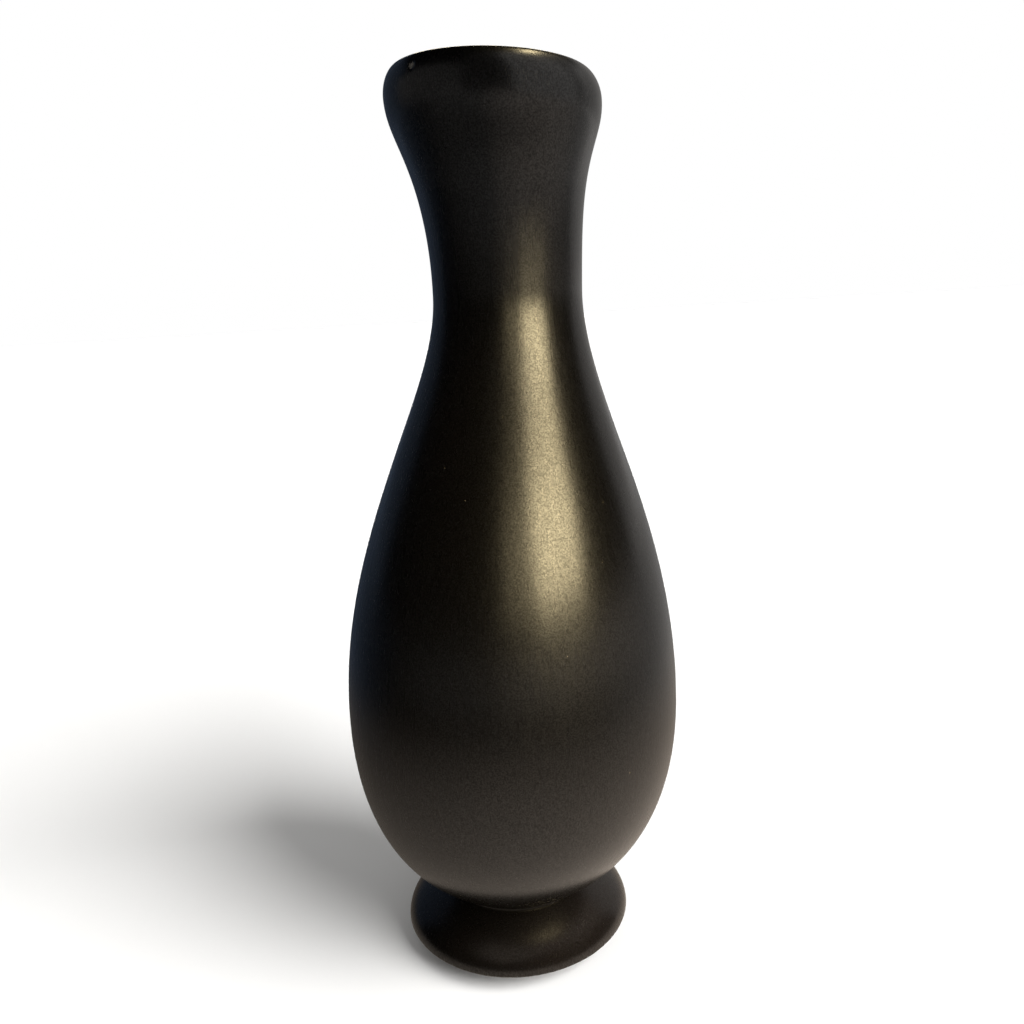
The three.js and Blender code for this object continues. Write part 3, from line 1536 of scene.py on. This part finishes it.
WARM_WINDOW = "#ffeab8"
COOL_SKY = "#b0c8ec"
PLASTER = "#fcf8f4"
WARM_PAPER = "#ffeedd"


def direction(azimuth: float, elevation: float) -> Vector:
    """Gives the direction from the pot to something.

    Args:
        azimuth: Degrees from the front (-Y) towards the right (+X).
        elevation: Degrees above the level.

    Returns:
        The unit direction.
    """
    around, up = math.radians(azimuth), math.radians(elevation)
    return Vector((math.sin(around) * math.cos(up), -math.cos(around) * math.cos(up), math.sin(up)))


class Lit(Enum):
    """The parts of the pot that a lamp lights, as if black cards kept it off the rest."""

    ALL = "whole_pot"
    ABOVE_FOOT = "above_foot"
    MOUTH = "mouth"
    FOOT = "foot"


@dataclass(frozen=True)
class Softbox:
    """A diffused lamp that faces the pot, sized by the angles that it fills as seen from there."""

    name: str
    azimuth: float
    elevation: float
    wide: float
    tall: float
    radiance: float
    colour: str
    lit: Lit = Lit.ALL
    in_shine: bool = True
    in_body_light: bool = True
    distance: float = 3.0

    def build(self, aim: Vector, lit: bpy.types.Collection) -> None:
        """Hangs the lamp.

        Args:
            aim: The point that it faces.
            lit: The things that it lights.
        """
        lamp = bpy.data.lights.new(self.name, "AREA")
        lamp.shape = "RECTANGLE"
        lamp.size = 2 * self.distance * math.tan(math.radians(self.wide / 2))
        lamp.size_y = 2 * self.distance * math.tan(math.radians(self.tall / 2))
        lamp.color = to_linear(self.colour)[:3]
        lamp.energy = self.radiance * math.pi * lamp.size * lamp.size_y
        holder = bpy.data.objects.new(self.name, lamp)
        towards = direction(self.azimuth, self.elevation)
        holder.location = aim + towards * self.distance
        holder.rotation_euler = towards.to_track_quat("Z", "Y").to_euler()
        holder.visible_camera = False
        holder.visible_glossy = self.in_shine
        holder.visible_diffuse = self.in_body_light
        holder.light_linking.receiver_collection = lit
        bpy.context.scene.collection.objects.link(holder)


@dataclass(frozen=True)
class FloorLight:
    """Broad daylight on the floor, which gives the pot its one soft shadow."""

    name: str
    azimuth: float
    elevation: float
    spread: float
    level: float  # brightness of the open floor under this light alone

    def build(self, lit: bpy.types.Collection, pot: bpy.types.Collection) -> None:
        """Sets the light.

        Args:
            lit: The things that it lights.
            pot: The pot, which alone shades them.
        """
        lamp = bpy.data.lights.new(self.name, "SUN")
        lamp.angle = math.radians(self.spread)
        lamp.energy = self.level * math.pi / math.sin(math.radians(self.elevation))
        holder = bpy.data.objects.new(self.name, lamp)
        holder.rotation_euler = direction(self.azimuth, self.elevation).to_track_quat("Z", "Y").to_euler()
        holder.light_linking.receiver_collection = lit
        holder.light_linking.blocker_collection = pot
        bpy.context.scene.collection.objects.link(holder)


@dataclass(frozen=True)
class Flag:
    """A card on a stand that keeps the window off the mouth, and that only the pot's shine sees. It glows
    by itself: painted light that stands for the card being lit by the room.
    """

    name: str
    azimuth: float
    wide_mm: float
    colour: str
    level: float
    distance_mm: float = 125.0
    low_mm: float = 256.0
    high_mm: float = 600.0

    def build(self) -> None:
        """Hangs the card."""
        out, across = direction(self.azimuth, 0.0), direction(self.azimuth + 90, 0.0)
        corners = []
        for side, height in ((-1, self.low_mm), (1, self.low_mm), (1, self.high_mm), (-1, self.high_mm)):
            reach = out * self.distance_mm + across * (side * self.wide_mm / 2)
            corners.append((reach + Vector((0.0, 0.0, height))) * MM)
        mesh = bpy.data.meshes.new(self.name)
        mesh.from_pydata(corners, [], [(0, 1, 2, 3)])
        material = bpy.data.materials.new(self.name)
        material.use_nodes = True
        tree = material.node_tree
        tree.nodes.clear()
        # The card's own glow is painted light, in place of light that a lit card would give back.
        glow = add_node(
            tree,
            "ShaderNodeEmission",
            {"Color": to_linear(self.colour), "Strength": self.level},
        )
        add_node(tree, "ShaderNodeOutputMaterial", {"Surface": glow.outputs[0]})
        mesh.materials.append(material)
        card = bpy.data.objects.new(self.name, mesh)
        card.visible_camera = False
        card.visible_diffuse = False
        bpy.context.scene.collection.objects.link(card)


@dataclass(frozen=True)
class PaintedFloorLight:
    """A painted pool of light on the floor: emission that only the pot's shine sees, standing in for lit
    floor.

    It is brightest towards one azimuth and at one distance, and fades away from both.
    """

    azimuth: float
    side_end: float  # cosine of the turn from its azimuth at which it ends
    reach_end_mm: float  # distance at which it ends
    reach_full_mm: float  # distance from which it is whole
    level: float
    colour: str

    def glow(self, tree: bpy.types.NodeTree, place: bpy.types.NodeSocket) -> bpy.types.NodeSocket:
        """Adds the painted light to the floor's tree.

        Args:
            tree: The tree.
            place: The point of the floor.

        Returns:
            Its emission shader, which is painted light.
        """
        way = add_node(tree, "ShaderNodeVectorMath", {0: place}, operation="NORMALIZE").outputs[0]
        side = add_node(
            tree,
            "ShaderNodeVectorMath",
            {0: way, 1: direction(self.azimuth, 0.0)},
            operation="DOT_PRODUCT",
        )
        bright = add_node(
            tree,
            "ShaderNodeMapRange",
            {"Value": side.outputs["Value"], "From Min": self.side_end, "To Max": self.level},
        )
        reach = add_node(tree, "ShaderNodeVectorMath", {0: place}, operation="LENGTH")
        strength = add_node(
            tree,
            "ShaderNodeMapRange",
            {
                "Value": reach.outputs["Value"],
                "From Min": self.reach_end_mm * MM,
                "From Max": self.reach_full_mm * MM,
                "To Max": bright.outputs[0],
            },
            interpolation_type="SMOOTHSTEP",
        )
        glow = add_node(
            tree,
            "ShaderNodeEmission",
            {"Color": to_linear(self.colour), "Strength": strength.outputs[0]},
        )
        return glow.outputs[0]


@dataclass(frozen=True)
class PaperFloor:
    """White paper on a table: matt, with a faint tooth.

    The eye sees it run out to white all round. The pot's shine sees painted light instead: glowing patches
    that stand for floor lit by the window on the right, with painted shade that dims it to the left and
    off into a dim room.
    """

    size: float = 40.0
    colour: str = "#f4f3f1"
    tooth_mm: float = 1.5  # real paper's is finer, drawn coarser so that it shows
    tooth_depth_mm: float = 0.02
    # painted light on the floor for the pot's shine; it fades to the left as painted shade
    painted_lights: tuple[PaintedFloorLight, ...] = (
        PaintedFloorLight(50, -1.4, 400, 90, 0.95, WARM_PAPER),
        PaintedFloorLight(0, 0.0, 420, 650, 0.24, PLASTER),
        PaintedFloorLight(45, 0.5, 400, 600, 0.6, WARM_PAPER),
        PaintedFloorLight(125, 0.2, 150, 350, 0.45, PLASTER),
        PaintedFloorLight(-150, 0.3, 120, 400, 0.13, COOL_SKY),
    )

    def build(self) -> bpy.types.Object:
        """Lays the floor.

        Returns:
            The floor, marked as part of the stage.
        """
        half = self.size / 2
        corners = [(-half, -half, 0.0), (half, -half, 0.0), (half, half, 0.0), (-half, half, 0.0)]
        mesh = bpy.data.meshes.new("paper_floor")
        mesh.from_pydata(corners, [], [(0, 1, 2, 3)])
        mesh.materials.append(self._material())
        floor = bpy.data.objects.new("paper_floor", mesh)
        bpy.context.scene.collection.objects.link(floor)
        return floor

    def _material(self) -> bpy.types.Material:
        """Builds the paper's material.

        Returns:
            The material.
        """
        material = bpy.data.materials.new("white_paper")
        material.use_nodes = True
        tree = material.node_tree
        shader = tree.nodes["Principled BSDF"]
        place = add_node(tree, "ShaderNodeTexCoord").outputs["Object"]
        tooth = add_node(
            tree,
            "ShaderNodeTexNoise",
            {"Vector": place, "Scale": 1 / (self.tooth_mm * MM)},
        )
        bump = add_node(
            tree,
            "ShaderNodeBump",
            {"Distance": self.tooth_depth_mm * MM, "Height": tooth.outputs["Fac"]},
        )
        tree.links.new(bump.outputs["Normal"], shader.inputs["Normal"])
        shader.inputs["Base Color"].default_value = to_linear(self.colour)
        shader.inputs["Roughness"].default_value = 1.0
        shader.inputs["Specular IOR Level"].default_value = 0.0
        # The pot's shine sees only this painted light, the glowing patches, and not the lit paper.
        in_shine = self.painted_lights[0].glow(tree, place)
        for painted_light in self.painted_lights[1:]:
            both = add_node(tree, "ShaderNodeAddShader", {0: in_shine, 1: painted_light.glow(tree, place)})
            in_shine = both.outputs[0]
        shine = add_node(tree, "ShaderNodeLightPath").outputs["Is Glossy Ray"]
        seen = add_node(tree, "ShaderNodeMixShader", {0: shine, 1: shader.outputs[0], 2: in_shine})
        tree.links.new(seen.outputs[0], tree.nodes["Material Output"].inputs["Surface"])
        return material


@dataclass(frozen=True)
class Studio:
    """A pale floor that runs out to a white background, with soft light from the right."""

    surroundings: str = "#060608"
    floor: PaperFloor = PaperFloor()
    lamps: tuple[Softbox, ...] = (
        Softbox("key_window", 37.5, 20.0, 35, 22, 20.0, WARM_WINDOW, Lit.ABOVE_FOOT, in_body_light=False),
        Softbox("key_edge", 8, 19, 24, 20, 2.6, WARM_WINDOW, Lit.ABOVE_FOOT, in_body_light=False),
        Softbox("key_glow", 37.5, 19.5, 35, 21, 20.0, WARM_WINDOW, in_shine=False),
        Softbox("mouth_window", 100, 67, 34, 5, 24.0, WARM_WINDOW, Lit.MOUTH, in_body_light=False),
        Softbox("mouth_wall", 68, 30, 92, 90, 0.3, PLASTER, Lit.MOUTH, in_body_light=False),
        Softbox("mouth_front", -45, 14, 130, 56, 0.16, PLASTER, Lit.MOUTH, in_body_light=False),
        Softbox("foot_front", 40, 70, 100, 44, 0.35, WARM_PAPER, Lit.FOOT, in_body_light=False),
        Softbox("foot_glow", 70, 42, 36, 36, 45.0, WARM_PAPER, Lit.FOOT, in_shine=False),
        Softbox("right_wall", 140, 8, 60, 60, 0.42, PLASTER),
        Softbox("left_sky", -142, 10, 60, 60, 0.13, COOL_SKY),
        Softbox("back_window", 180, 19.5, 14, 24, 8.0, WARM_WINDOW, in_body_light=False),
    )
    floor_lights: tuple[FloorLight, ...] = (
        FloorLight("day", 57, 35, 44, 0.95),
        FloorLight("sky", 0, 90, 150, 0.36),
    )
    flags: tuple[Flag, ...] = (
        # both cards glow by themselves as painted light; the grey one brightly, the black one faintly
        Flag("grey_flag", 52, 160, PLASTER, 0.75),
        Flag("black_flag", -2, 112, PLASTER, 0.05, distance_mm=132.0),
    )

    def build(self, pieces: list[bpy.types.Object]) -> None:
        """Sets the floor, the flags, the background and the lights.

        Args:
            pieces: The pot's members.
        """
        floor = self.floor.build()
        mouth = [piece for piece in pieces if piece.name.startswith(("mouth", "lip"))]
        foot = [piece for piece in pieces if piece.name.startswith("foot")]
        above_foot = [piece for piece in pieces if piece not in foot]
        groups = {
            Lit.ALL: self._group(Lit.ALL.value, pieces),
            Lit.ABOVE_FOOT: self._group(Lit.ABOVE_FOOT.value, above_foot),
            Lit.MOUTH: self._group(Lit.MOUTH.value, mouth),
            Lit.FOOT: self._group(Lit.FOOT.value, foot),
        }
        floor_only = self._group("floor", [floor])
        low, high = cad_box
        aim = (Vector(low) + Vector(high)) / 2
        for lamp in self.lamps:
            lamp.build(aim, groups[lamp.lit])
        for light in self.floor_lights:
            light.build(floor_only, groups[Lit.ALL])
        for flag in self.flags:
            flag.build()
        self._background()

    def _group(self, name: str, things: list[bpy.types.Object]) -> bpy.types.Collection:
        """Makes a collection that lights are linked to.

        Args:
            name: The collection's name.
            things: What it holds.

        Returns:
            The collection.
        """
        group = bpy.data.collections.new(name)
        for thing in things:
            group.objects.link(thing)
        return group

    def _background(self) -> None:
        """Makes the background white to the camera and dim to everything else."""
        world = bpy.data.worlds.new("studio")
        bpy.context.scene.world = world
        world.use_nodes = True
        tree = world.node_tree
        tree.nodes.clear()
        seen = add_node(tree, "ShaderNodeBackground", {"Color": (1, 1, 1, 1), "Strength": 1.0})
        dim = add_node(tree, "ShaderNodeBackground", {"Color": to_linear(self.surroundings)})
        ray = add_node(tree, "ShaderNodeLightPath").outputs["Is Camera Ray"]
        mix = add_node(tree, "ShaderNodeMixShader", {0: ray, 1: dim.outputs[0], 2: seen.outputs[0]})
        add_node(tree, "ShaderNodeOutputWorld", {"Surface": mix.outputs[0]})


@dataclass(frozen=True)
class Viewpoint:
    """Where the camera stands: above the shoulder, one pot's height away, and slightly turned."""

    right_mm: float = 3.51
    distance_mm: float = 280.0
    height_mm: float = 213.3
    pitch: float = -12.947
    roll: float = -3.444
    lens_mm: float = 31.22
    sensor_mm: float = 36.0

    def build(self) -> None:
        """Sets the scene's camera."""
        camera = bpy.data.cameras.new("camera")
        camera.lens = self.lens_mm
        camera.sensor_width = self.sensor_mm
        camera.clip_start = 0.01
        holder = bpy.data.objects.new("camera", camera)
        pitch, roll = math.radians(self.pitch), math.radians(self.roll)
        ahead = Vector((0.0, math.cos(pitch), math.sin(pitch)))
        level, above = Vector((1.0, 0.0, 0.0)), Vector((0.0, -math.sin(pitch), math.cos(pitch)))
        right = level * math.cos(roll) + above * math.sin(roll)
        up = above * math.cos(roll) - level * math.sin(roll)
        turned = Matrix((right, up, -ahead)).transposed()
        holder.location = Vector((self.right_mm, -self.distance_mm, self.height_mm)) * MM
        holder.rotation_euler = turned.to_euler()
        bpy.context.scene.collection.objects.link(holder)
        bpy.context.scene.camera = holder
        bpy.context.scene.view_settings.view_transform = "Standard"


def main() -> None:
    """Builds the pot and its studio."""
    logging.basicConfig(level=logging.INFO, format="%(name)s: %(message)s")
    body = Body(
        belly_radius=max(half_width(node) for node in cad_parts),
        mouth_radius=half_width("lip_coil"),
    )
    nick = Nick().spot(body) * MM
    shop = Workshop(
        body=body,
        turning=TurningTree(),
        hand=HandWork(),
        nick=nick,
        burnished=BurnishedClay().material(nick),
        scraped=ScrapedClay().material(),
        slip=FiredSlip().material(),
        segments=SEGMENTS,
    )
    pieces = ClayPot(shop).build()
    for piece in pieces:
        log.info("%s: %d faces", piece.name, len(piece.data.polygons))
    Studio().build(pieces)
    Viewpoint().build()


if __name__ == "__main__":
    main()
